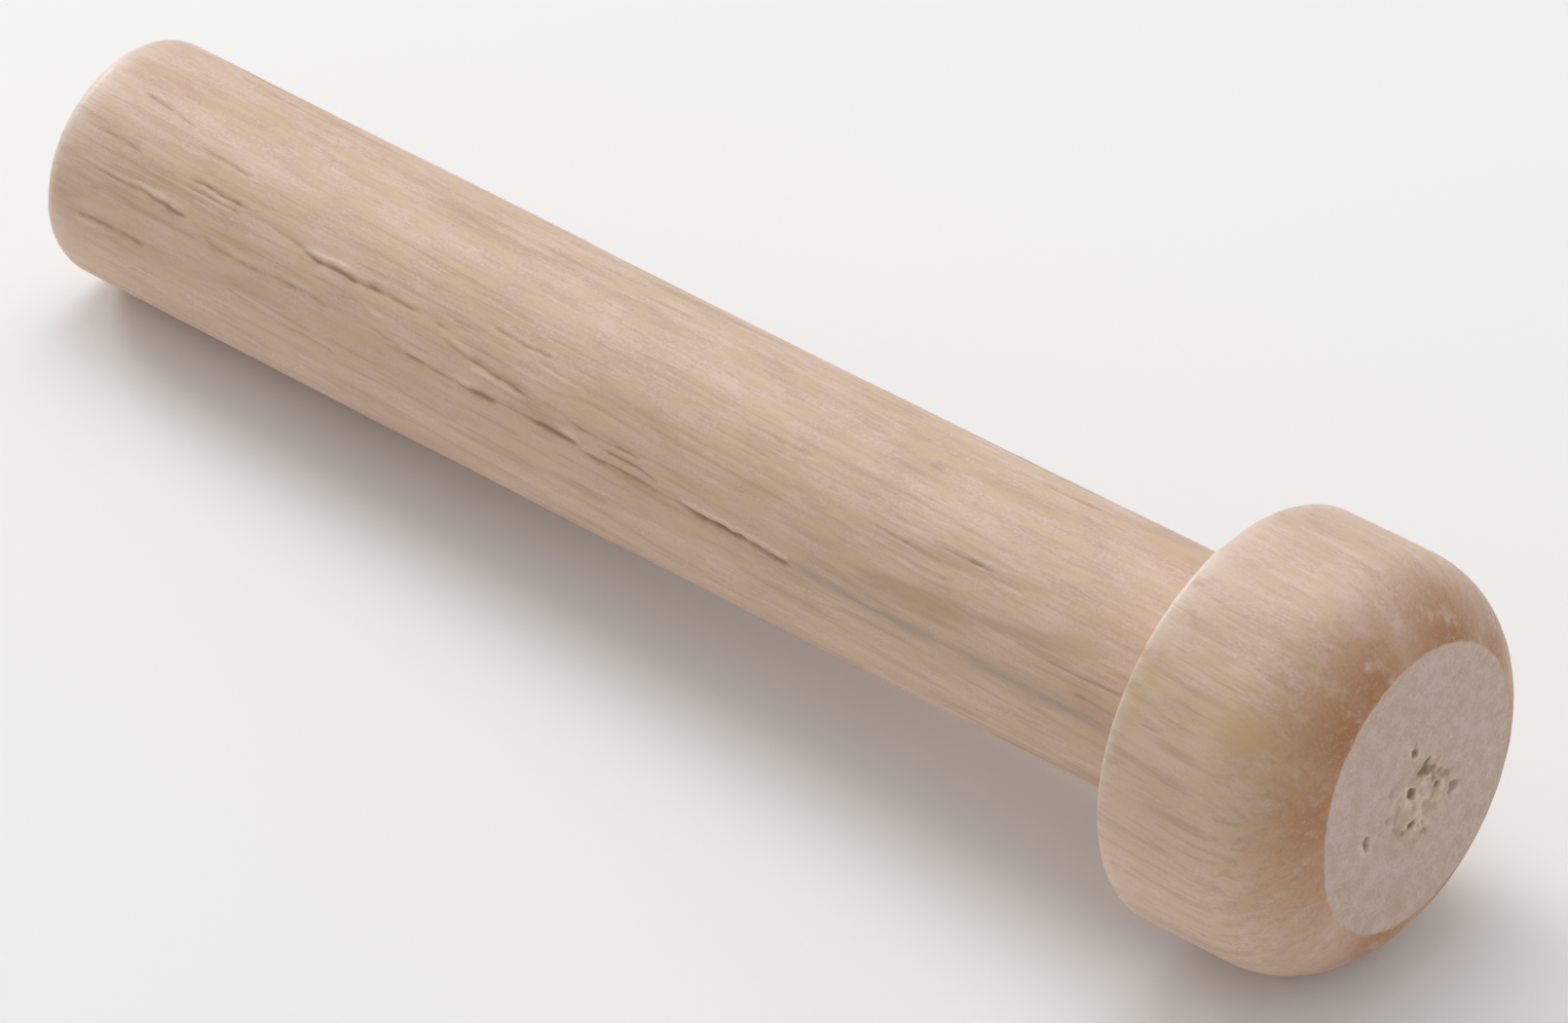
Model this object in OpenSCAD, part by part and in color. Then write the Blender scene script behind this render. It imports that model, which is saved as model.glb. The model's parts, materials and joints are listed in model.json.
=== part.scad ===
// A small in-line mallet turned from pale hardwood.
// The handle carries a round tenon that is glued into a blind hole in the back of the head.
// The mallet lies on its side on the plane Z = 0, with its head towards +X.

/* [Handle] */
// Diameter of the grip
grip_d = 30; // [26:0.5:34]
// Length of the handle outside the head
grip_len = 174; // [110:1:240]
// Radius of the rounded edge round the butt
butt_edge_r = 2.2; // [0.5:0.1:6]
// Length of the short neck where the handle swells to meet the head
neck_len = 3; // [1:0.5:3.5]
// Radius of the hollow curve of the neck
neck_r = 4; // [4:0.5:12]

/* [Head] */
// Diameter of the head
head_d = 51.5; // [46:0.5:56]
// Length of the head along the handle
head_len = 24; // [23:0.5:40]
// Diameter of the flat striking face
face_d = 35.5; // [32:0.5:44]
// How far the round shoulder turns from the side of the head towards its face, in degrees
shoulder_turn = 73; // [65:1:88]
// Radius of the rounded edge round the back of the head
back_edge_r = 1; // [0.3:0.1:3]

/* [Joint] */
// Diameter of the tenon
tenon_d = 18; // [12:0.5:20]
// Length of the tenon
tenon_len = 16; // [8:0.5:17]
// Width of the chamfer round the end of the tenon
tenon_chamfer = 1; // [0.5:0.1:2]
// Thickness of the glue line round the tenon
glue_line = 0.1; // [0.05:0.05:0.3]
// Depth of the pocket for spare glue past the end of the tenon
glue_pocket = 1; // [0.5:0.1:2]

/* [Hidden] */
$fn = 96;
grip_r = grip_d / 2;
head_r = head_d / 2;
face_r = face_d / 2;
tenon_r = tenon_d / 2;

// The shoulder is an arc that leaves the side of the head smoothly and stops at the face.
shoulder_r = (head_r - face_r) / (1 - cos(shoulder_turn));
shoulder_start = head_len - shoulder_r * sin(shoulder_turn);

// The mallet touches the plane at the edge of its butt and at the back edge of its head.
// Both centres are [distance from the axis, distance along the axis from the back of the head].
butt_edge = [grip_r - butt_edge_r, butt_edge_r - grip_len];
back_edge = [head_r - back_edge_r, back_edge_r];
between = back_edge - butt_edge;
rest_tilt = atan2(between[0], between[1]) - asin((butt_edge_r - back_edge_r) / norm(between));

// Where the back of the head meets the axis when the mallet lies at rest, centred along X.
rest_z = butt_edge[0] * cos(rest_tilt) - butt_edge[1] * sin(rest_tilt) + butt_edge_r;
head_end_x = head_len * cos(rest_tilt) + face_r * sin(rest_tilt);
butt_end_x = butt_edge[1] * cos(rest_tilt) - butt_edge[0] * sin(rest_tilt) - butt_edge_r;
rest_x = -(head_end_x + butt_end_x) / 2;

// Turns an outline about the axis of the mallet and lays the result on its side.
module turned_and_laid_down() {
    translate([rest_x, 0, rest_z])
        rotate([0, 90 - rest_tilt, 0])
            rotate_extrude()
                children();
}

module grip_outline() {
    translate([0, -grip_len])
        square([butt_edge[0], butt_edge_r]);
    translate(butt_edge)
        circle(r = butt_edge_r);
    translate([0, butt_edge[1]])
        square([grip_r, -butt_edge[1]]);
}

module neck_outline() {
    difference() {
        translate([0, -neck_len])
            square([grip_r + neck_r, neck_len]);
        translate([grip_r + neck_r, -neck_len])
            circle(r = neck_r);
    }
}

module tenon_outline() {
    polygon([
        [0, 0],
        [tenon_r, 0],
        [tenon_r, tenon_len - tenon_chamfer],
        [tenon_r - tenon_chamfer, tenon_len],
        [0, tenon_len]
    ]);
}

module head_outline() {
    square([back_edge[0], back_edge_r]);
    translate(back_edge)
        circle(r = back_edge_r);
    translate([0, back_edge_r])
        square([head_r, shoulder_start - back_edge_r]);
    intersection() {
        translate([0, shoulder_start])
            square([head_r, head_len - shoulder_start]);
        union() {
            translate([head_r - shoulder_r, shoulder_start])
                circle(r = shoulder_r);
            translate([0, shoulder_start])
                square([head_r - shoulder_r, shoulder_r]);
        }
    }
}

module mortise_outline() {
    square([tenon_r + glue_line, tenon_len + glue_pocket]);
}

module handle() {
    color([0.80, 0.69, 0.58])
        turned_and_laid_down() {
            grip_outline();
            neck_outline();
            tenon_outline();
        }
}

module head() {
    color([0.76, 0.63, 0.51])
        turned_and_laid_down()
            difference() {
                head_outline();
                mortise_outline();
            }
}

handle();
head();
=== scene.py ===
"""The looks of a small turned wooden mallet: a handle and a head, as detailed meshes of procedural wood.

Places are in mallet coordinates: the distance along the axis from the butt, the distance from the axis, and
the angle round the axis, counted from the top of the mallet towards the side that faces the camera.
"""
import json
import math

import bpy
import numpy as np
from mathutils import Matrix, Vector


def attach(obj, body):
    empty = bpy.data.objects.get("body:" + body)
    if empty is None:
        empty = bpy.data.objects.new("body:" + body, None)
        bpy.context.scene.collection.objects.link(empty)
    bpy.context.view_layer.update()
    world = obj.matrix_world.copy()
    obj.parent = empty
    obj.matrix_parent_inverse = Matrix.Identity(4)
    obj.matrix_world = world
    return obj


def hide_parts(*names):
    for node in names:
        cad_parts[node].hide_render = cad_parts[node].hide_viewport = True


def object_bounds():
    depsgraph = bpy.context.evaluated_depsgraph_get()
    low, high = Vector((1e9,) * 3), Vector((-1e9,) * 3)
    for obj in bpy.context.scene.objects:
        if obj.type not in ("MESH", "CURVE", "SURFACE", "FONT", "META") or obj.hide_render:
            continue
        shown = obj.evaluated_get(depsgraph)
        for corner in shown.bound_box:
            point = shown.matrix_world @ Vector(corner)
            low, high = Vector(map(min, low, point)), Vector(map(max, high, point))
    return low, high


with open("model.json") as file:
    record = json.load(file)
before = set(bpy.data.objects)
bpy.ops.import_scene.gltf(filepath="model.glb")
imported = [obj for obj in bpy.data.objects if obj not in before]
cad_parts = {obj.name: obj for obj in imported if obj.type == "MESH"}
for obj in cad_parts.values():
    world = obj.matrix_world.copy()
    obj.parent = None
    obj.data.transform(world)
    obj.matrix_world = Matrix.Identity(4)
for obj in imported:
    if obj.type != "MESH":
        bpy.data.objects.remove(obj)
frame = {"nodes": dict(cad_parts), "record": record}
cad_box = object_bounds()

MM = 0.001
SEED = 11

# --------------------------------------------------------------------------------------------------
# Sizes, read from the frame
# --------------------------------------------------------------------------------------------------

LEVEL = 0.02 * MM  # CAD points closer than this are level with each other
MOUNTS = {mount["name"]: mount for mount in frame["record"]["mounts"]}
BUTT = np.array(MOUNTS["butt_face"]["pos_m"])
FACE = np.array(MOUNTS["striking_face"]["pos_m"])
AXIS = (FACE - BUTT) / np.linalg.norm(FACE - BUTT)
CAMERA_SIDE = np.array([0.0, -1.0, 0.0])
TOP = np.cross(CAMERA_SIDE, AXIS)


def cad_outline(node):
    """Distance along the axis, and distance from the axis, of every point of a CAD node."""
    mesh = frame["nodes"][node].data
    flat = np.empty(3 * len(mesh.vertices), np.float32)
    mesh.vertices.foreach_get("co", flat)
    from_butt = flat.reshape(-1, 3) - BUTT
    along = from_butt @ AXIS
    return along, np.linalg.norm(from_butt - np.outer(along, AXIS), axis=1)


def radii_at(outline, place):
    """The radii of the CAD points at one distance along the axis."""
    along, radius = outline
    return radius[np.abs(along - place) < LEVEL]


def arc_radius(rise, run):
    """The radius of an arc that starts level and rises by this much over this run."""
    return (rise**2 + run**2) / (2 * rise)


handle_cad = cad_outline("handle")
head_cad = cad_outline("head")

FACE_END = float(np.linalg.norm(FACE - BUTT))
JOINT = float(head_cad[0].min())
TENON_END = float(handle_cad[0].max())

GRIP_R = MOUNTS["grip"]["dims"]["r_mm"] * MM
BUTT_EDGE_R = GRIP_R - radii_at(handle_cad, 0).max()
NECK_START = BUTT_EDGE_R + MOUNTS["grip"]["dims"]["length_mm"] * MM
NECK_TOP_R = radii_at(handle_cad, JOINT).max()
NECK_ARC_R = arc_radius(NECK_TOP_R - GRIP_R, JOINT - NECK_START)
TENON_R = handle_cad[1][handle_cad[0] > JOINT + LEVEL].max()
TENON_TIP_R = radii_at(handle_cad, TENON_END).max()

HEAD_R = head_cad[1].max()
BACK_EDGE_R = HEAD_R - radii_at(head_cad, JOINT).max()
FACE_R = radii_at(head_cad, FACE_END).max()
SHOULDER_START = head_cad[0][head_cad[1] > HEAD_R - LEVEL].max()
SHOULDER_ARC_R = arc_radius(HEAD_R - FACE_R, FACE_END - SHOULDER_START)
MORTISE_R = radii_at(head_cad, JOINT).min()
MORTISE_END = head_cad[0][(head_cad[1] < MORTISE_R + LEVEL) & (head_cad[0] < FACE_END - LEVEL)].max()

# --------------------------------------------------------------------------------------------------
# Outlines: rows of (along, radius) points, with a column for every angle round the axis
# --------------------------------------------------------------------------------------------------

COLUMNS = 440
ANGLES = np.arange(COLUMNS) * 2 * math.pi / COLUMNS
GRIP_STEP = 1.15 * MM  # the grain runs lengthways, so rows may lie further apart than columns
SIDE_STEP = 0.5 * MM
ARC_STEP = 0.25 * MM
BUTT_STEP = 0.5 * MM
FACE_STEP = 0.25 * MM
HIDDEN_STEP = 2 * MM

FACE_LEAN = math.radians(1.9)  # the face was cut a little out of square
FACE_LEAN_TOWARDS = math.radians(82)
BOW = 0.33 * MM  # the grip sags a little between its ends
BOW_TOWARDS = math.radians(133)


def spot(along, radius):
    """One outline point, at every angle."""
    return np.stack([along + 0 * ANGLES, radius + 0 * ANGLES], axis=-1)


def line(start, end, step):
    """Rows from start up to but not including end."""
    count = max(1, round(np.linalg.norm(end - start, axis=-1).max() / step))
    share = (np.arange(count) / count)[:, None, None]
    return start + (end - start) * share


def arc(centre, radius, first, last):
    """Rows on an arc, without its last.

    Turn 0 is straight out from the axis, and a right angle is towards the face.
    """
    count = round(radius * np.abs(last - first).max() / ARC_STEP)
    turn = first + (last - first + 0 * ANGLES) * (np.arange(count) / count)[:, None]
    return centre + radius * np.stack([np.sin(turn), np.cos(turn)], axis=-1)


def handle_outline():
    butt_r = GRIP_R - BUTT_EDGE_R
    neck_turn = math.asin((JOINT - NECK_START) / NECK_ARC_R)
    chamfer = TENON_R - TENON_TIP_R
    return np.concatenate([
        line(spot(0, 0), spot(0, butt_r), BUTT_STEP),
        arc(spot(BUTT_EDGE_R, butt_r), BUTT_EDGE_R, -math.pi / 2, 0),
        line(spot(BUTT_EDGE_R, GRIP_R), spot(NECK_START, GRIP_R), GRIP_STEP),
        arc(spot(NECK_START, GRIP_R + NECK_ARC_R), NECK_ARC_R, math.pi, math.pi - neck_turn),
        line(spot(JOINT, NECK_TOP_R), spot(JOINT, TENON_R), HIDDEN_STEP),
        line(spot(JOINT, TENON_R), spot(TENON_END - chamfer, TENON_R), HIDDEN_STEP),
        line(spot(TENON_END - chamfer, TENON_R), spot(TENON_END, TENON_TIP_R), HIDDEN_STEP),
        line(spot(TENON_END, TENON_TIP_R), spot(TENON_END, 0), HIDDEN_STEP),
        spot(TENON_END, 0)[None],
    ])


def leaning_face():
    """The slope of the face, how far the shoulder turns to meet it and the radius there, at every angle."""
    slope = math.tan(FACE_LEAN) * np.cos(ANGLES - FACE_LEAN_TOWARDS)
    reach = FACE_END - SHOULDER_START + slope * (HEAD_R - SHOULDER_ARC_R)
    turn = np.arctan(slope) + np.arcsin(reach / (SHOULDER_ARC_R * np.hypot(1, slope)))
    return slope, turn, HEAD_R - SHOULDER_ARC_R * (1 - np.cos(turn))


def head_outline():
    slope, turn, rim = leaning_face()
    back_r = HEAD_R - BACK_EDGE_R
    return np.concatenate([
        line(spot(MORTISE_END, 0), spot(MORTISE_END, MORTISE_R), HIDDEN_STEP),
        line(spot(MORTISE_END, MORTISE_R), spot(JOINT, MORTISE_R), HIDDEN_STEP),
        line(spot(JOINT, MORTISE_R), spot(JOINT, back_r), SIDE_STEP),
        arc(spot(JOINT + BACK_EDGE_R, back_r), BACK_EDGE_R, -math.pi / 2, 0),
        line(spot(JOINT + BACK_EDGE_R, HEAD_R), spot(SHOULDER_START, HEAD_R), SIDE_STEP),
        arc(spot(SHOULDER_START, HEAD_R - SHOULDER_ARC_R), SHOULDER_ARC_R, 0, turn),
        line(spot(FACE_END + slope * rim, rim), spot(FACE_END, 0), FACE_STEP),
        spot(FACE_END, 0)[None],
    ])


def outward(outline):
    """Unit normals of an outline, as (along, radius) pairs."""
    tangent = np.gradient(outline, axis=0)
    normal = np.stack([-tangent[..., 1], tangent[..., 0]], axis=-1)
    return normal / np.linalg.norm(normal, axis=-1, keepdims=True)


def travel(outline):
    """The distance along the outline from its first row."""
    steps = np.linalg.norm(np.diff(outline, axis=0), axis=-1)
    return np.concatenate([0 * steps[:1], np.cumsum(steps, axis=0)])


# --------------------------------------------------------------------------------------------------
# Seeded noise
# --------------------------------------------------------------------------------------------------

NOISE_STEP = 0.12 * MM
NOISE_MARGIN = 1 * MM  # how far flat noise reaches past the head


def ramp(value, low, high):
    """A smooth step from 0 at low to 1 at high."""
    share = np.clip((value - low) / (high - low), 0, 1)
    return share * share * (3 - 2 * share)


def smooth_noise(shape, blur, rng):
    """Random values with mean 0 and deviation 1 that tile, smooth over blur points along each side."""
    spectrum = np.fft.rfft2(rng.standard_normal(shape))
    down = np.fft.fftfreq(shape[0])[:, None] * blur[0]
    across = np.fft.rfftfreq(shape[1])[None, :] * blur[1]
    field = np.fft.irfft2(spectrum * np.exp(-2 * math.pi**2 * (down**2 + across**2)), shape)
    return (field - field.mean()) / field.std()


def read(field, row, column):
    """Values between the points of a field that tiles."""
    above = np.floor(row).astype(int)
    left = np.floor(column).astype(int)
    down = row - above
    right = column - left

    def corner(rows_on, columns_on):
        return field[(above + rows_on) % field.shape[0], (left + columns_on) % field.shape[1]]

    upper = corner(0, 0) * (1 - right) + corner(0, 1) * right
    lower = corner(1, 0) * (1 - right) + corner(1, 1) * right
    return upper * (1 - down) + lower * down


def grain_noise(distance, rng, length, width, sway=0):
    """Noise drawn out along the grain, read at distances along an outline.

    Length and width are those of a blot. Sway is how far its lines bend sideways, at every point.
    """
    rows = int(distance.max() / NOISE_STEP) + 2  # one past the last point, for read
    column_width = 2 * math.pi * GRIP_R / COLUMNS
    field = smooth_noise((rows, COLUMNS), (length / NOISE_STEP / 2, width / column_width / 2), rng)
    return read(field, distance / NOISE_STEP, np.arange(COLUMNS) + sway / column_width)


def flat_noise(across, up, rng, size):
    """Noise without a direction, read at places on a flat end. Size is that of a blot."""
    side = int(2 * (HEAD_R + NOISE_MARGIN) / NOISE_STEP)
    field = smooth_noise((side, side), (size / NOISE_STEP / 2, size / NOISE_STEP / 2), rng)
    return read(field, up / NOISE_STEP + side / 2, across / NOISE_STEP + side / 2)


# --------------------------------------------------------------------------------------------------
# Checks: short splits along the grain, with a torn fibre standing up beside each
# --------------------------------------------------------------------------------------------------

# Those on the side that shows. Start and end are shares of the handle's length from the butt, angles are in
# degrees, and width and depth in millimetres.
GRIP_CHECKS = [
    # start, end, first angle, last angle, width, depth
    (0.026, 0.103, 12.5, 17, 0.50, 0.20),
    (0.113, 0.164, 26, 27, 0.45, 0.12),
    (0.026, 0.080, 38, 40.5, 0.50, 0.16),
    (0.120, 0.174, 40, 40.5, 0.45, 0.24),
    (0.120, 0.170, 44, 44.5, 0.35, 0.16),
    (0.120, 0.165, 48, 49, 0.35, 0.12),
    (0.190, 0.235, 42.5, 44.5, 0.40, 0.16),
    (0.230, 0.345, 45.5, 48.5, 0.60, 0.34),
    (0.290, 0.315, 54.5, 57, 0.40, 0.12),
    (0.030, 0.100, 56, 57, 0.50, 0.16),
    (0.090, 0.128, 57.5, 59.5, 0.55, 0.26),
    (0.140, 0.275, 62, 65.5, 0.55, 0.17),
    (0.028, 0.100, 78, 81, 0.60, 0.18),
    (0.165, 0.280, 80, 85, 0.60, 0.12),
    (0.256, 0.333, 33, 35, 0.40, 0.10),
    (0.287, 0.335, 64.5, 65.5, 0.40, 0.12),
    (0.333, 0.352, 34, 37, 0.40, 0.14),
    (0.352, 0.368, 49, 51, 0.60, 0.18),
    (0.364, 0.392, 55, 57, 0.50, 0.16),
    (0.390, 0.445, 57, 60, 0.55, 0.20),
    (0.360, 0.436, 28, 30, 0.35, 0.08),
    (0.395, 0.455, 39.5, 41.5, 0.40, 0.15),
    (0.440, 0.508, 45, 47.5, 0.35, 0.11),
    (0.335, 0.400, 67.5, 68.5, 0.45, 0.18),
    (0.380, 0.500, 68.5, 70.5, 0.55, 0.32),
    (0.477, 0.552, 62, 63.5, 0.45, 0.16),
    (0.510, 0.566, 66.5, 69, 0.45, 0.20),
    (0.495, 0.575, 72, 74.5, 0.45, 0.20),
    (0.577, 0.690, 72.5, 75.5, 0.55, 0.34),
    (0.610, 0.670, 25.5, 26.5, 0.40, 0.16),
    (0.741, 0.757, 2.5, 3, 0.55, 0.14),
    (0.780, 0.835, 35.5, 37, 0.40, 0.20),
    (0.726, 0.812, 42, 43.5, 0.35, 0.16),
    (0.751, 0.813, 48, 49, 0.35, 0.14),
    (0.895, 0.965, 60.5, 61, 0.35, 0.14),
    (0.925, 0.963, 69.5, 70.5, 0.35, 0.16),
]
STAIN = (0.67, 0.985, 75, 78, 1.6)  # a blue-grey streak: start, end, first angle, last angle, width

UNSEEN_CHECKS = 34
UNSEEN_SIDES = (110, 345)  # the angles between which the grip doesn't show
SMALL_CHECKS = 320
ALL_ROUND = (0, 360)
RANDOM_STARTS = (0.01, 0.96)  # as shares of the piece's length, like the last end
LAST_RANDOM_END = 0.985
RANDOM_TURN = 25  # the most that a random check would turn over the whole length, in degrees
RANDOM_WIDTHS = (0.3, 0.6)

FADED_END = 0.12  # the share of a mark's length over which each of its ends fades
DARKEST_DEPTH = 0.3  # marks this deep, in millimetres, are fully dark
LEAST_VIGOUR = 0.4  # how deep a check is where it is shallowest and deepest, compared with the table
MOST_VIGOUR = 1.2
MOST_TORN = 1.2  # how high its torn fibre stands at the most, compared with LIP_HEIGHT
SHADE_WIDTH = 3.5  # the browned wood beside a check, in widths of the check
SHADE = 0.5
LIP_OFFSET = 1.15  # the torn fibre, in widths of its check
LIP_WIDTH = 1.5
LIP_HEIGHT = 0.45


def random_checks(count, piece_length, rng, angles, lengths, depths):
    """Checks strewn over a piece, in the same units as in the tables, but with lengths in millimetres."""
    made = []
    for _ in range(count):
        start = rng.uniform(*RANDOM_STARTS)
        end = min(start + rng.uniform(*lengths) * MM / piece_length, LAST_RANDOM_END)
        angle = rng.uniform(*angles)
        last = angle + rng.uniform(0, RANDOM_TURN) * (end - start)
        made.append((start, end, angle, last, rng.uniform(*RANDOM_WIDTHS), rng.uniform(*depths)))
    return made


def turned_from(angle):
    """Every column's angle from a direction in degrees, in radians from minus to plus half a turn."""
    return np.mod(ANGLES - np.radians(angle) + math.pi, 2 * math.pi) - math.pi


def sideways(share, first, last, radius):
    """The distance round the piece from a mark's line, whose angle runs from first to last."""
    return turned_from(first + (last - first) * share) * radius


def fade(share):
    """1 along a mark, falling to 0 at both of its ends."""
    return ramp(share, 0, FADED_END) * ramp(1 - share, 0, FADED_END)


def bell(offset, width):
    """1 at the middle of a mark, and about a third at half its width from there."""
    return np.exp(-(2 * offset / width)**2)


def facing(angle, width):
    """1 in a direction from the axis, falling to 0 round it. Both are in degrees."""
    return bell(turned_from(angle), math.radians(width))


def cut_checks(checks, back, length, outline, distance, rng):
    """The height that checks add to a piece, and how dark and how pale they make it.

    Back is where the piece starts along the axis, and length is how long it is from there.
    """
    wander = 0.2 * grain_noise(distance, rng, length=7 * MM, width=3 * MM)  # in millimetres
    wander += 0.07 * grain_noise(distance, rng, length=1.3 * MM, width=2 * MM)
    vigour = 0.9 + 0.2 * grain_noise(distance, rng, length=5 * MM, width=2 * MM)
    vigour += 0.2 * grain_noise(distance, rng, length=1 * MM, width=1 * MM)
    vigour = np.clip(vigour, LEAST_VIGOUR, MOST_VIGOUR)
    torn = 0.6 + 0.5 * grain_noise(distance, rng, length=4 * MM, width=2 * MM)
    torn = np.clip(torn, 0, MOST_TORN)
    height, dark, pale = np.zeros((3, *distance.shape))
    shares = (outline[..., 0] - back) / length
    for start, end, first, last, width, depth in checks:
        rows = np.flatnonzero((shares[:, 0] > start) & (shares[:, 0] < end))
        share = (shares[rows] - start) / (end - start)
        off = (sideways(share, first, last, outline[rows, :, 1]) / MM + wander[rows]) / width
        strength = fade(share) * vigour[rows]
        groove = strength * bell(off, 1)
        shade = SHADE * strength * bell(off, SHADE_WIDTH)
        lip = fade(share) * torn[rows] * bell(off + rng.choice((-1, 1)) * LIP_OFFSET, LIP_WIDTH)
        height[rows] += (LIP_HEIGHT * lip - groove) * depth * MM
        darkest = min(1, depth / DARKEST_DEPTH)
        dark[rows] = np.maximum(dark[rows], darkest * np.maximum(groove, shade))
        pale[rows] = np.maximum(pale[rows], darkest * lip)
    return height, dark, pale


# --------------------------------------------------------------------------------------------------
# Marks on the head
# --------------------------------------------------------------------------------------------------

# Splits on its side, in the same units as those of the grip, from its back to its face.
HEAD_CHECKS = [
    # start, end, first angle, last angle, width, depth
    (0.02, 0.20, 16, 17, 0.30, 0.08),
    (0.03, 0.16, 20, 20, 0.35, 0.11),
    (0.02, 0.14, 24, 25, 0.35, 0.11),
    (0.10, 0.36, 28, 29, 0.35, 0.10),
    (0.22, 0.42, 23, 24, 0.30, 0.08),
    (0.02, 0.12, 31, 31, 0.35, 0.10),
    (0.02, 0.10, 58, 58, 0.45, 0.12),
    (0.04, 0.13, 63, 63, 0.45, 0.10),
    (0.06, 0.30, 100, 101, 0.50, 0.10),
    (0.10, 0.34, 107, 108, 0.40, 0.08),
    (0.10, 0.26, -22, -21, 0.45, 0.12),
    (0.24, 0.40, -12, -11, 0.40, 0.08),
]
HEAD_SMALL_CHECKS = 90
HEAD_FURROWS = 0.6  # their darkness, compared with those of the grip

# Pits where short grain broke out of the striking face, in millimetres and degrees.
FACE_PITS = [
    # from the centre, angle, length, width, depth
    (5.1, -20, 2.6, 1.0, 0.36),
    (1.0, -115, 3.4, 1.1, 0.42),
    (4.2, -86, 3.6, 1.3, 0.34),
    (6.4, -96, 2.8, 1.0, 0.18),
    (5.4, -168, 2.4, 1.8, 0.42),
    (6.6, -154, 2.4, 0.9, 0.26),
    (10.0, -118, 2.0, 1.1, 0.22),
    (2.9, 59, 1.4, 0.9, 0.12),
    (8.1, 110, 1.9, 1.2, 0.40),
    (6.8, -134, 2.8, 2.2, 0.10),
    (4.6, 160, 2.6, 0.8, 0.12),
]
FACE_GRAIN = math.radians(43)  # the way that the pits are drawn out
PIT_RAGGEDNESS = 0.9  # how far noise moves a pit's outline, in half widths of the pit, as are the next four
PIT_FLOOR = 0.3
PIT_BRIM = 1.5
PIT_LIP = 1.8
PIT_LIP_WIDTH = 1.0
PIT_LIP_HEIGHT = 0.2  # compared with the pit's depth
TORN_CENTRE = (3.6 * MM, math.radians(-133))  # from the face's middle, and the angle
TORN_R = 7.5 * MM
WHOLLY_TORN = 0.45  # the share of that radius which is rough all over

# Where the shoulder was burnished brown, in degrees round it.
BURNISHED = [
    # middle, width, strength
    (-28, 44, 0.90),
    (14, 34, 0.90),
    (35, 45, 1.00),
    (66, 50, 0.85),
    (90, 50, 0.50),
    (165, 40, 0.70),
    (205, 30, 0.90),
    (260, 40, 0.50),
    (300, 25, 0.80),
]
LEAST_BURNISH = 0.2  # between those places

# Yellow stains on the head's side. Share is how far they lie from its back to its face, and sizes are in
# millimetres.
HEAD_STAINS = [
    # share, angle, length, width, strength
    (0.72, 48, 7, 7, 1.0),
    (0.10, 50, 5, 9, 0.8),
    (0.30, 190, 8, 6, 0.6),
]


def tear_pits(across, up, ragged):
    """The height that the pits add to the face, and how dark and how pale they make it."""
    height, dark, pale = np.zeros((3, *across.shape))
    for distance, angle, length, width, depth in FACE_PITS:
        aside = across - distance * MM * math.sin(math.radians(angle))
        above = up - distance * MM * math.cos(math.radians(angle))
        lengthways = aside * math.sin(FACE_GRAIN) + above * math.cos(FACE_GRAIN)
        widthways = aside * math.cos(FACE_GRAIN) - above * math.sin(FACE_GRAIN)
        reach = 2 * np.hypot(lengthways / length, widthways / width) / MM + PIT_RAGGEDNESS * ragged
        hole = 1 - ramp(reach, PIT_FLOOR, PIT_BRIM)
        lip = bell(reach - PIT_LIP, PIT_LIP_WIDTH) * ramp(ragged, 0, 1.2)
        height += (PIT_LIP_HEIGHT * lip - hole) * depth * MM
        darkest = min(1, depth / DARKEST_DEPTH)
        dark = np.maximum(dark, darkest * hole)
        pale = np.maximum(pale, darkest * lip)
    return height, dark, pale


def torn_middle(across, up):
    """1 where the middle of the face is rough, falling to 0 round it."""
    distance, angle = TORN_CENTRE
    off = np.hypot(across - distance * math.sin(angle), up - distance * math.cos(angle))
    return 1 - ramp(off, WHOLLY_TORN * TORN_R, TORN_R)


def burnish(shoulder):
    """How brown the shoulder is. Shoulder is 0 at its start and 1 at the face."""
    patches = np.zeros(COLUMNS)
    for middle, width, strength in BURNISHED:
        patches = np.maximum(patches, strength * facing(middle, width))
    over_shoulder = 0.85 * ramp(shoulder, 0.17, 0.8)
    beside_face = 0.3 * ramp(shoulder, 0.7, 1)
    return (over_shoulder + beside_face) * (LEAST_BURNISH + (1 - LEAST_BURNISH) * patches)


def stained(outline):
    """How yellow the head is at every point."""
    mask = np.zeros(outline.shape[:2])
    for share, angle, length, width, strength in HEAD_STAINS:
        ahead = (outline[..., 0] - JOINT - share * (FACE_END - JOINT)) / (length * MM)
        aside = turned_from(angle) * outline[..., 1] / (width * MM)
        mask = np.maximum(mask, strength * bell(np.hypot(ahead, aside), 1))
    return mask


# --------------------------------------------------------------------------------------------------
# The pieces
# --------------------------------------------------------------------------------------------------

GRAIN_TWIST = math.radians(0.1) / MM  # the grain winds slowly round the mallet
SHARP_EDGE = math.radians(50)  # edges that turn further than this are shaded as corners
JOINT_FADE = 1.5 * MM  # the handle's marks and relief fade out this near the joint
NECK_FADE = 1.2 * MM  # and the head's over this distance, just outside the neck
PAINTED_SHADE_TOWARDS = 70  # where the wood is painted browner as shade, on the side turned from the top light towards the camera, and over how wide an angle, in degrees
PAINTED_SHADE_WIDTH = 75
EDGE_HIGHLIGHT_TOWARDS = 15  # where the turned edges are palest: a painted highlight, laid over their wear
EDGE_HIGHLIGHT_WIDTH = 60
LEAST_WEAR_AND_HIGHLIGHT = 0.4  # how strong their pale band, wear and painted highlight together, is opposite that place
EDGE_WEAR_AND_HIGHLIGHT = 5 * MM  # how wide the pale band along an edge is, which is wear with a painted highlight
BACK_WEAR_AND_HIGHLIGHT = 12 * MM  # how wide the fainter pale band round the back of the head is, also wear with a painted highlight
BACK_WEAR_AND_HIGHLIGHT_STRENGTH = 0.45  # compared with that of an edge
RAGGED_RIM = 0.06 * MM  # how far crumbs move the rim of the face
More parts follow.
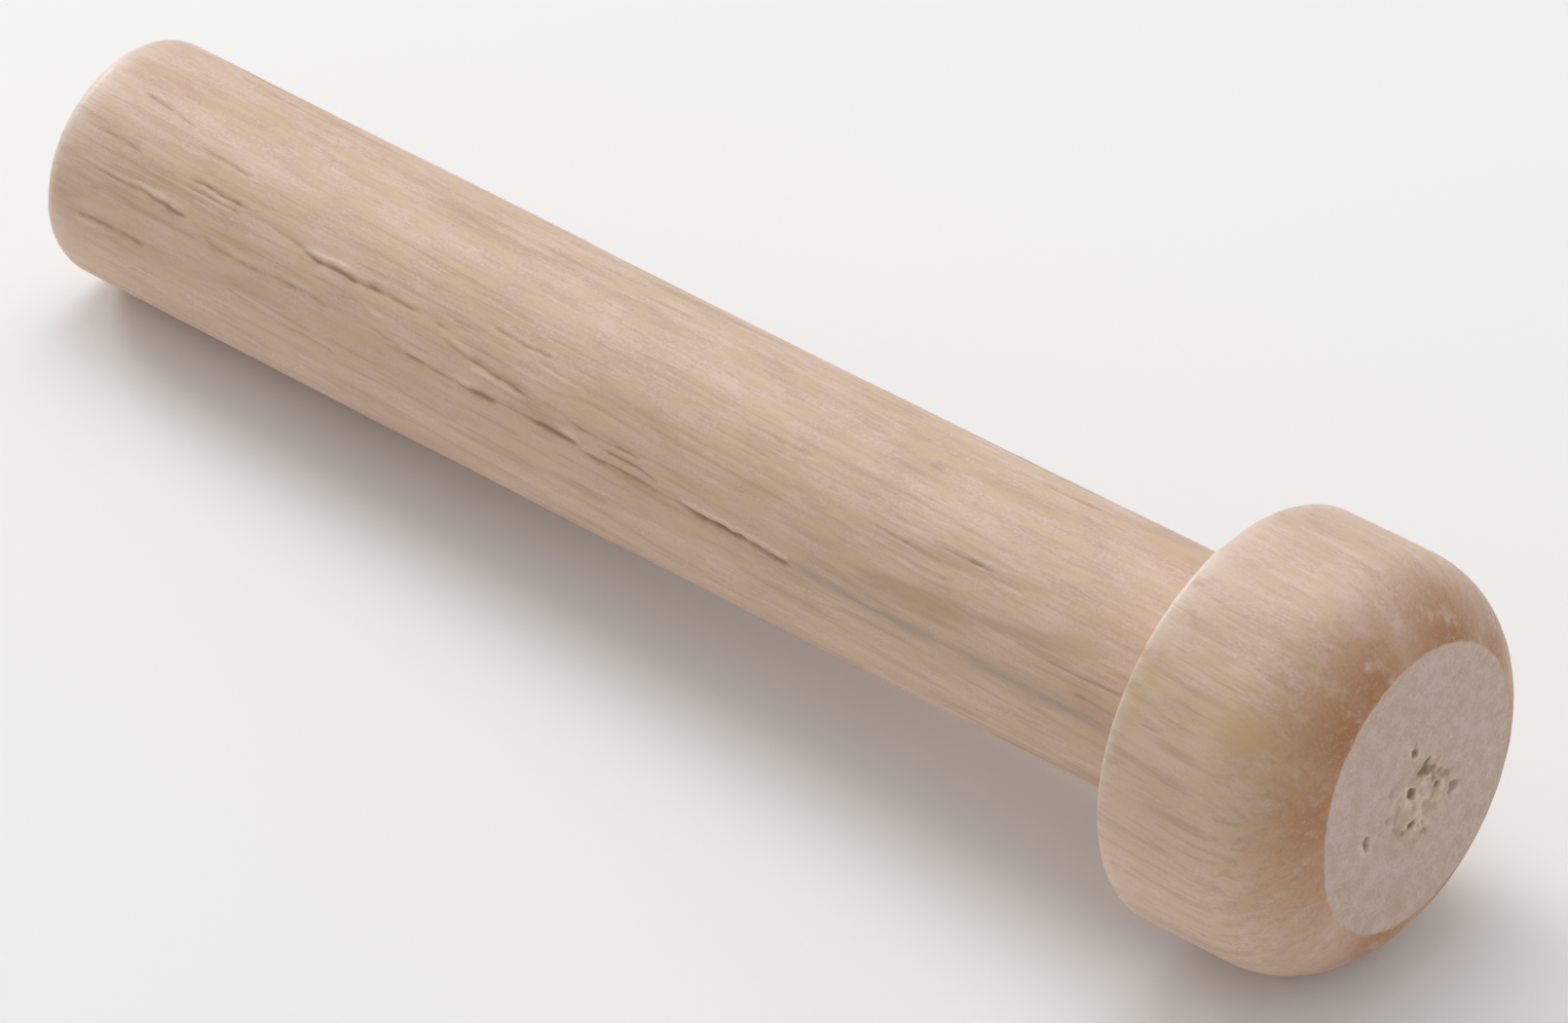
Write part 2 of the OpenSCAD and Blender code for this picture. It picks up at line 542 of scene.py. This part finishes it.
RIM_OUTSIDE = 0.15 * MM  # the face's colour starts this far outside its rim
RIM_INSIDE = 0.35 * MM  # and is whole this far inside it
BUTT_ROUGHNESS = 0.012  # the height of the end grain's relief, in millimetres, like the next two
FACE_ROUGHNESS = 0.002
TORN_ROUGHNESS = 0.04


def spokes(angle):
    """Unit vectors straight out from the axis."""
    return np.multiply.outer(np.cos(angle), TOP) + np.multiply.outer(np.sin(angle), CAMERA_SIDE)


def grain_coordinates(outline):
    """Millimetres along the grain and across it, which the wood's patterns are drawn in."""
    along = outline[..., 0]
    radius = outline[..., 1]
    turned = ANGLES - GRAIN_TWIST * along
    return np.stack([along, radius * np.cos(turned), radius * np.sin(turned)], axis=-1) / MM


def per_point(rows):
    """Rows of values as one value for each point of a closed mesh."""
    return np.concatenate([rows[0, :1], rows[1:-1].reshape(-1, *rows.shape[2:]), rows[-1, :1]])


def closed_mesh(name, points):
    """A mesh round the axis from rows of points. The first row and the last have shrunk to a point each."""
    rings = np.arange(len(points) - 2)[:, None] * COLUMNS + np.arange(COLUMNS) + 1
    beside = np.roll(rings, -1, axis=1)
    first = np.zeros_like(rings[0])
    last = first + rings.max() + 1
    quads = np.stack([rings[:-1], beside[:-1], beside[1:], rings[1:]], axis=-1).reshape(-1, 4)
    first_cap = np.stack([first, beside[0], rings[0]], axis=-1)
    last_cap = np.stack([last, rings[-1], beside[-1]], axis=-1)
    mesh = bpy.data.meshes.new(name)
    faces = first_cap.tolist() + quads.tolist() + last_cap.tolist()
    mesh.from_pydata(per_point(points).tolist(), [], faces)
    mesh.polygons.foreach_set("use_smooth", np.ones(len(mesh.polygons), bool))
    mesh.set_sharp_from_angle(angle=SHARP_EDGE)
    return mesh


def make_piece(name, outline, relief, shift, masks, material):
    """A piece from its outline, with relief along its normals, a shift of its axis, and named masks."""
    moved = outline + outward(outline) * relief[..., None]
    points = BUTT + moved[..., :1] * AXIS + moved[..., 1:] * spokes(ANGLES) + shift
    mesh = closed_mesh(name, points)
    grain = mesh.attributes.new("grain", "FLOAT_VECTOR", "POINT")
    grain.data.foreach_set("vector", per_point(grain_coordinates(outline)).ravel())
    for mask, values in masks.items():
        mesh.attributes.new(mask, "FLOAT", "POINT").data.foreach_set("value", per_point(values))
    mesh.materials.append(material)
    piece = bpy.data.objects.new(name, mesh)
    bpy.context.scene.collection.objects.link(piece)
    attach(piece, "root")
    return piece


def raised_grain(distance, rng):
    """How deep every point lies in the furrows between raised fibres, from 0 to 1, and its height."""
    sway = 0.5 * MM * grain_noise(distance, rng, length=14 * MM, width=6 * MM)
    coarse = grain_noise(distance, rng, length=11 * MM, width=1.5 * MM, sway=sway)
    fine = grain_noise(distance, rng, length=6 * MM, width=0.7 * MM, sway=sway)
    rough = ramp(grain_noise(distance, rng, length=30 * MM, width=9 * MM), -1.2, 1.0)
    waves = 0.045 * grain_noise(distance, rng, length=36 * MM, width=10 * MM)  # in millimetres, like fibres
    fibres = rough * (0.022 * coarse + 0.012 * fine)
    furrows = ramp(-coarse - 0.5 * fine, 0.6, 2.4) * rough
    return furrows, (waves + fibres + 0.004 * fine) * MM


def edge_wear_and_highlight(outline, along, radius, width):
    """How pale the wood is painted by the turned edge that lies at this place: wear, with a painted
    highlight that is strongest on one side.
    """
    near = bell(np.hypot(outline[..., 0] - along, outline[..., 1] - radius), width)
    return near * (LEAST_WEAR_AND_HIGHLIGHT + (1 - LEAST_WEAR_AND_HIGHLIGHT) * facing(EDGE_HIGHLIGHT_TOWARDS, EDGE_HIGHLIGHT_WIDTH))


def painted_shade_side(outline):
    """1 along the side that is painted a little browner as shade, falling to 0 round the piece."""
    return facing(PAINTED_SHADE_TOWARDS, PAINTED_SHADE_WIDTH) + 0 * outline[..., 0]


def flat_places(outline):
    """Where the points lie when seen along the axis."""
    return outline[..., 1] * np.sin(ANGLES), outline[..., 1] * np.cos(ANGLES)


def make_handle(material):
    rng = np.random.default_rng(SEED)
    outline = handle_outline()
    distance = travel(outline)
    across, up = flat_places(outline)
    seen = ramp(JOINT - outline[..., 0], 0, JOINT_FADE)
    end_grain = seen * outward(outline)[..., 0]**2
    long_grain = seen - end_grain

    unseen = random_checks(UNSEEN_CHECKS, JOINT, rng, UNSEEN_SIDES, lengths=(6, 20), depths=(0.1, 0.34))
    small = random_checks(SMALL_CHECKS, JOINT, rng, ALL_ROUND, lengths=(2.5, 8), depths=(0.02, 0.08))
    checks = GRIP_CHECKS + unseen + small
    grooves, dark, pale = cut_checks(checks, 0, JOINT, outline, distance, rng)

    furrows, relief = raised_grain(distance, rng)
    relief = seen * relief + BUTT_ROUGHNESS * MM * end_grain * flat_noise(across, up, rng, size=0.6 * MM)
    relief += grooves * long_grain

    start, end, first, last, width = STAIN
    share = np.clip((outline[..., 0] / JOINT - start) / (end - start), 0, 1)
    stain = fade(share) * bell(sideways(share, first, last, outline[..., 1]), width * MM)
    half_round_butt = BUTT_EDGE_R * (1 - math.sqrt(0.5))
    masks = {
        "dark": dark * long_grain,
        "pale": pale * long_grain,
        "furrow": furrows * long_grain,
        "stain": stain * long_grain,
        # painted shade: browner along one side
        "painted_shade": painted_shade_side(outline),
        # the butt's edge is painted pale: wear, with a painted highlight
        "edge": edge_wear_and_highlight(outline, half_round_butt, GRIP_R, EDGE_WEAR_AND_HIGHLIGHT),
    }
    bowed = 1 - (2 * np.clip(outline[..., :1] / JOINT, 0, 1) - 1)**2
    shift = BOW * bowed * spokes(BOW_TOWARDS)
    handle = make_piece("turned_handle", outline, relief, shift, masks, material)
    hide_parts("handle")


def make_head(material):
    rng = np.random.default_rng(SEED + 1)
    outline = head_outline()
    distance = travel(outline)
    across, up = flat_places(outline)
    normal = outward(outline)
    _, turn, rim = leaning_face()
    along = outline[..., 0]
    radius = outline[..., 1]
    in_mortise = (along < MORTISE_END + LEVEL) & (radius < MORTISE_R + LEVEL)
    beside_neck = (along < JOINT + LEVEL) * ramp(NECK_TOP_R + JOINT_FADE - radius, 0, NECK_FADE)
    seen = 1 - np.maximum(in_mortise, beside_neck)
    crumbs = flat_noise(across, up, rng, size=0.8 * MM)
    inside_rim = rim - radius + RAGGED_RIM * crumbs
    on_face = (along > (MORTISE_END + FACE_END) / 2) * ramp(inside_rim, -RIM_OUTSIDE, RIM_INSIDE)
    turned_side = seen * (1 - on_face)
    end_grain = seen * normal[..., 0]**2
    long_grain = seen - end_grain
    shoulder = (along > SHOULDER_START) * turned_side * np.arccos(np.clip(normal[..., 1], -1, 1)) / turn

    length = FACE_END - JOINT
    small = random_checks(HEAD_SMALL_CHECKS, length, rng, ALL_ROUND, lengths=(2, 6), depths=(0.03, 0.12))
    grooves, dark, pale = cut_checks(HEAD_CHECKS + small, JOINT, length, outline, distance, rng)
    ragged = 0.8 * flat_noise(across, up, rng, size=1.2 * MM)
    ragged += 0.5 * flat_noise(across, up, rng, size=0.6 * MM)
    pits, pit_dark, pit_pale = tear_pits(across, up, ragged)
    torn = torn_middle(across, up) * on_face
    furrows, relief = raised_grain(distance, rng)
    relief *= turned_side
    furrows *= HEAD_FURROWS
    relief += (FACE_ROUGHNESS + TORN_ROUGHNESS * torn) * MM * end_grain * crumbs
    relief += grooves * long_grain + pits * on_face

    # the head's back edge is painted pale: wear, with a painted highlight
    rim_wear_and_highlight = edge_wear_and_highlight(outline, JOINT, HEAD_R, EDGE_WEAR_AND_HIGHLIGHT)
    back_wear_and_highlight = BACK_WEAR_AND_HIGHLIGHT_STRENGTH * edge_wear_and_highlight(outline, JOINT, HEAD_R, BACK_WEAR_AND_HIGHLIGHT)
    dark_crumbs = 0.3 * torn * ramp(-crumbs, 0.8, 2)
    pale_crumbs = 0.7 * torn * ramp(crumbs, 0.3, 1.6)
    masks = {
        "dark": dark * long_grain,
        "pale": pale * long_grain,
        "furrow": furrows * long_grain,
        "pit_dark": np.maximum(pit_dark * on_face, dark_crumbs),
        "pit_pale": np.maximum(pit_pale * on_face, pale_crumbs),
        "torn": torn,
        "face": on_face,
        "burnish": burnish(shoulder),
        "stain": stained(outline) * turned_side,
        # painted shade: browner along one side
        "painted_shade": painted_shade_side(outline) * turned_side,
        "edge": np.maximum(rim_wear_and_highlight, back_wear_and_highlight),
    }
    head = make_piece("turned_head", outline, relief, np.zeros(3), masks, material)
    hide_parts("head")


# --------------------------------------------------------------------------------------------------
# Materials
# --------------------------------------------------------------------------------------------------

LIGHT_WOOD = (0.76, 0.555, 0.465)
DARK_WOOD = (0.61, 0.42, 0.31)
YELLOW_WOOD = (0.69, 0.50, 0.33)
# a browner wood: painted shade on the side away from the top light, and the real colour of the torn face
WARM_WOOD_AND_SHADE = (0.56, 0.375, 0.235)
SMUDGE_BROWN = (0.46, 0.30, 0.185)
CHECK_BROWN = (0.34, 0.20, 0.105)
PALE_FIBRE = (0.84, 0.68, 0.56)
# pale edges: the colour of wear, lightened further into a painted highlight
WEAR_AND_HIGHLIGHT_WHITE = (0.90, 0.745, 0.645)
STAIN_GREY = (0.36, 0.29, 0.25)
STAIN_YELLOW = (0.60, 0.40, 0.19)
BURNISH_BROWN = (0.41, 0.18, 0.065)
BURNISH_ORANGE = (0.60, 0.30, 0.13)
CUT_FACE = (0.675, 0.525, 0.457)
CUT_FACE_DARK = (0.57, 0.42, 0.33)
PIT_BROWN = (0.20, 0.135, 0.065)
FLAKE_CREAM = (0.82, 0.70, 0.55)
FLOOR_WHITE = (0.93, 0.93, 0.93)

MIX_INPUTS = (0, 6, 7)  # where a Mix node keeps its share and its two colours
MIX_OUTPUT = 2


class Nodes:
    """Short calls that build one node material. Lengths are in millimetres of the grain coordinates."""

    def __init__(self, name):
        self.material = bpy.data.materials.new(name)
        self.material.use_nodes = True
        self.tree = self.material.node_tree
        self.tree.nodes.clear()

    def feed(self, socket, value):
        if isinstance(value, bpy.types.NodeSocket):
            self.tree.links.new(value, socket)
        elif isinstance(value, tuple) and socket.type == "RGBA":
            socket.default_value = (*value, 1)
        else:
            socket.default_value = value

    def add(self, kind, *values, **settings):
        """A node with settings, whose first inputs are fed with values."""
        node = self.tree.nodes.new("ShaderNode" + kind)
        for setting, value in settings.items():
            setattr(node, setting, value)
        for socket, value in zip(node.inputs, values):
            self.feed(socket, value)
        return node

    def maths(self, operation, *values):
        return self.add("Math", *values, operation=operation).outputs[0]

    def mask(self, name):
        return self.add("Attribute", attribute_name=name).outputs["Fac"]

    def noise(self, length, width, detail=2, offset=0.0):
        """Blots of noise from about 0.2 to 0.8, this long along the grain and this wide across it."""
        grain = self.add("Attribute", attribute_name="grain").outputs["Vector"]
        scale = (1 / length, 1 / width, 1 / width)
        place = self.add("VectorMath", grain, scale, (offset, offset, offset), operation="MULTIPLY_ADD")
        node = self.add("TexNoise", place.outputs[0])
        node.inputs["Scale"].default_value = 1
        node.inputs["Detail"].default_value = detail
        return node.outputs["Fac"]

    def step(self, value, low, high):
        """0 below low and 1 above high, and smooth between them."""
        return self.add("MapRange", value, low, high, interpolation_type="SMOOTHSTEP").outputs[0]

    def scale(self, value, factor):
        return self.maths("MULTIPLY", value, factor)

    def blend(self, share, first, second):
        """The first colour where share is 0, and the second where it is 1."""
        node = self.add("Mix", data_type="RGBA")
        for place, value in zip(MIX_INPUTS, (share, first, second)):
            self.feed(node.inputs[place], value)
        return node.outputs[MIX_OUTPUT]

    def tint(self, colour, other, share, strength):
        """A colour turned towards another, wholly where share times strength is 1."""
        return self.blend(self.scale(share, strength), colour, other)

    def total(self, *values):
        result = values[0]
        for value in values[1:]:
            result = self.maths("ADD", result, value)
        return result

    def finish(self, colour, roughness, height):
        """Joins a Principled surface to the output. Height is in millimetres."""
        bump = self.add("Bump")
        bump.inputs["Distance"].default_value = MM
        self.feed(bump.inputs["Height"], height)
        surface = self.add("BsdfPrincipled")
        self.feed(surface.inputs["Base Color"], colour)
        self.feed(surface.inputs["Roughness"], roughness)
        self.feed(surface.inputs["Normal"], bump.outputs[0])
        self.add("OutputMaterial", surface.outputs[0])
        return self.material


def plain_wood(nodes):
    """The colour, the roughness and the height of clean wood, which both pieces share."""
    fibres = nodes.noise(length=3.5, width=0.35, detail=3)
    streaks = nodes.noise(length=18, width=1.3, detail=3, offset=7.3)
    clouds = nodes.noise(length=16, width=6, detail=2, offset=23.4)
    speckle = nodes.noise(length=0.45, width=0.3, detail=2, offset=5.7)
    mottle = nodes.noise(length=5, width=2, detail=4, offset=11.2)
    smudges = nodes.step(nodes.noise(length=16, width=1.0, detail=3, offset=13.6), 0.5, 0.7)
    pores = nodes.step(nodes.noise(length=2.2, width=0.25, detail=1, offset=1.9), 0.62, 0.76)

    painted_shade = nodes.mask("painted_shade")
    edge = nodes.mask("edge")
    wear_and_highlight = nodes.scale(edge, nodes.step(nodes.noise(length=4, width=2.5, offset=8.8), 0.25, 0.5))

    tone = nodes.total(
        nodes.scale(fibres, 0.8),
        nodes.scale(streaks, 0.9),
        clouds,
        nodes.scale(speckle, 0.8),
    )
    colour = nodes.blend(nodes.step(tone, 1.45, 2.05), DARK_WOOD, LIGHT_WOOD)
    colour = nodes.tint(colour, YELLOW_WOOD, nodes.step(mottle, 0.40, 0.62), strength=0.65)
    # painted shade: the side away from the top light is turned browner
    colour = nodes.tint(colour, WARM_WOOD_AND_SHADE, painted_shade, strength=0.45)
    colour = nodes.tint(colour, SMUDGE_BROWN, smudges, strength=nodes.total(nodes.scale(painted_shade, 0.4), 0.15))
    colour = nodes.tint(colour, SMUDGE_BROWN, nodes.mask("furrow"), strength=0.55)
    colour = nodes.tint(colour, CHECK_BROWN, pores, strength=0.16)
    # painted highlight, with wear, along the turned edges
    colour = nodes.tint(colour, WEAR_AND_HIGHLIGHT_WHITE, wear_and_highlight, strength=0.85)
    colour = nodes.tint(colour, PALE_FIBRE, broken_up(nodes, nodes.mask("pale")), strength=0.5)
    colour = nodes.tint(colour, CHECK_BROWN, broken_up(nodes, nodes.mask("dark")), strength=0.7)

    roughness = nodes.total(nodes.scale(fibres, 0.2), nodes.scale(edge, -0.16), 0.40)
    height = nodes.total(
        nodes.scale(fibres, 0.05),
        nodes.scale(speckle, 0.025),
        nodes.scale(smudges, -0.03),
    )
    return colour, roughness, height


def broken_up(nodes, mask):
    """A mask with its edge broken up by the fibres."""
    fibres = nodes.noise(length=2.5, width=0.4, detail=2, offset=9.4)
    return nodes.step(nodes.total(mask, nodes.scale(fibres, 0.7)), 0.45, 1.25)


def handle_material():
    nodes = Nodes("handle_wood")
    colour, roughness, height = plain_wood(nodes)
    stain = nodes.scale(nodes.mask("stain"), nodes.step(nodes.noise(length=5, width=0.8), 0.25, 0.65))
    colour = nodes.tint(colour, STAIN_GREY, stain, strength=0.7)
    return nodes.finish(colour, roughness, height)


def head_material():
    nodes = Nodes("head_wood")
    colour, roughness, height = plain_wood(nodes)

    burnish = nodes.mask("burnish")
    patches = nodes.noise(length=3.5, width=2.2, detail=5, offset=4.4)
    crumbs = nodes.noise(length=0.7, width=0.4, detail=2, offset=6.1)
    yellow = nodes.scale(nodes.mask("stain"), nodes.step(patches, 0.2, 0.6))
    brown = nodes.scale(burnish, nodes.step(patches, 0.1, 0.5))
    orange = nodes.scale(burnish, nodes.step(patches, 0.55, 0.7))
    scorched = nodes.scale(burnish, nodes.step(crumbs, 0.5, 0.68))
    frayed = nodes.scale(burnish, nodes.step(crumbs, 0.40, 0.28))
    colour = nodes.tint(colour, STAIN_YELLOW, yellow, strength=0.85)
    colour = nodes.tint(colour, BURNISH_BROWN, brown, strength=0.95)
    colour = nodes.tint(colour, BURNISH_ORANGE, orange, strength=0.45)
    colour = nodes.tint(colour, CHECK_BROWN, scorched, strength=0.3)
    colour = nodes.tint(colour, PALE_FIBRE, frayed, strength=0.25)

    cut = nodes.mask("face")
    dust = nodes.total(
        nodes.scale(nodes.noise(length=3, width=2.0, detail=3, offset=2.2), 0.8),
        nodes.scale(nodes.noise(length=1, width=0.4, detail=3, offset=9.9), 0.8),
    )
    cut_colour = nodes.blend(nodes.step(dust, 0.55, 1.02), CUT_FACE_DARK, CUT_FACE)
    colour = nodes.blend(cut, colour, cut_colour)
    browned = nodes.step(nodes.noise(length=2, width=1.2, detail=3), 0.42, 0.6)
    torn = nodes.scale(nodes.mask("torn"), browned)
    colour = nodes.tint(colour, WARM_WOOD_AND_SHADE, torn, strength=0.6)
    colour = nodes.tint(colour, FLAKE_CREAM, nodes.mask("pit_pale"), strength=0.8)
    colour = nodes.tint(colour, PIT_BROWN, nodes.mask("pit_dark"), strength=0.8)
    roughness = nodes.total(roughness, nodes.scale(cut, 0.25), nodes.scale(burnish, -0.08))
    return nodes.finish(colour, roughness, height)


def floor_material():
    return Nodes("floor_paint").finish(FLOOR_WHITE, roughness=0.85, height=0.0)


# --------------------------------------------------------------------------------------------------
# Floor, light and camera
# --------------------------------------------------------------------------------------------------

FLOOR_SIZE = 12.0
SKY_LIGHT = 0.54
# Square lamps that face the mallet: name, place from its middle, size in metres, watts
LAMPS = [
    ("softbox", (-0.5, 0.5, 1.5), 1.2, 9.6),
    ("edge_light", (-1.3, 0.2, 0.7), 0.5, 5.5),
]
CAMERA_AZIMUTH = math.radians(41.45)
CAMERA_ELEVATION = math.radians(40.07)
CAMERA_DISTANCE = 1.638
CAMERA_AIM = Vector((7.13, -1.55, -7.51)) * MM  # from the middle of the CAD box
CAMERA_LENS = 325.2


def aim(thing, target):
    """Turns a lamp or camera to face a point, with its top up."""
    thing.rotation_euler = (target - thing.location).to_track_quat("-Z", "Y").to_euler()


def make_floor():
    mesh = bpy.data.meshes.new("floor")
    half = FLOOR_SIZE / 2
    corners = [(-half, -half, 0), (half, -half, 0), (half, half, 0), (-half, half, 0)]
    mesh.from_pydata(corners, [], [(0, 1, 2, 3)])
    mesh.materials.append(floor_material())
    floor = bpy.data.objects.new("floor", mesh)
    bpy.context.scene.collection.objects.link(floor)


def make_light(middle):
    world = bpy.data.worlds.new("studio")
    world.use_nodes = True
    world.node_tree.nodes["Background"].inputs["Color"].default_value = (1, 1, 1, 1)
    world.node_tree.nodes["Background"].inputs["Strength"].default_value = SKY_LIGHT
    bpy.context.scene.world = world
    for name, place, size, watts in LAMPS:
        lamp_data = bpy.data.lights.new(name, "AREA")
        lamp_data.size = size
        lamp_data.energy = watts
        lamp = bpy.data.objects.new(name, lamp_data)
        lamp.location = middle + Vector(place)
        aim(lamp, middle)
        bpy.context.scene.collection.objects.link(lamp)


def make_camera(middle):
    camera_data = bpy.data.cameras.new("camera")
    camera_data.lens = CAMERA_LENS
    camera = bpy.data.objects.new("camera", camera_data)
    level = math.cos(CAMERA_ELEVATION)
    back = Vector((
        math.sin(CAMERA_AZIMUTH) * level,
        -math.cos(CAMERA_AZIMUTH) * level,
        math.sin(CAMERA_ELEVATION),
    ))
    camera.location = middle + CAMERA_AIM + back * CAMERA_DISTANCE
    aim(camera, middle + CAMERA_AIM)
    bpy.context.scene.collection.objects.link(camera)
    bpy.context.scene.camera = camera


make_handle(handle_material())
make_head(head_material())
make_floor()
middle = (cad_box[0] + cad_box[1]) / 2
make_light(middle)
make_camera(middle)
bpy.context.scene.view_settings.view_transform = "Standard"
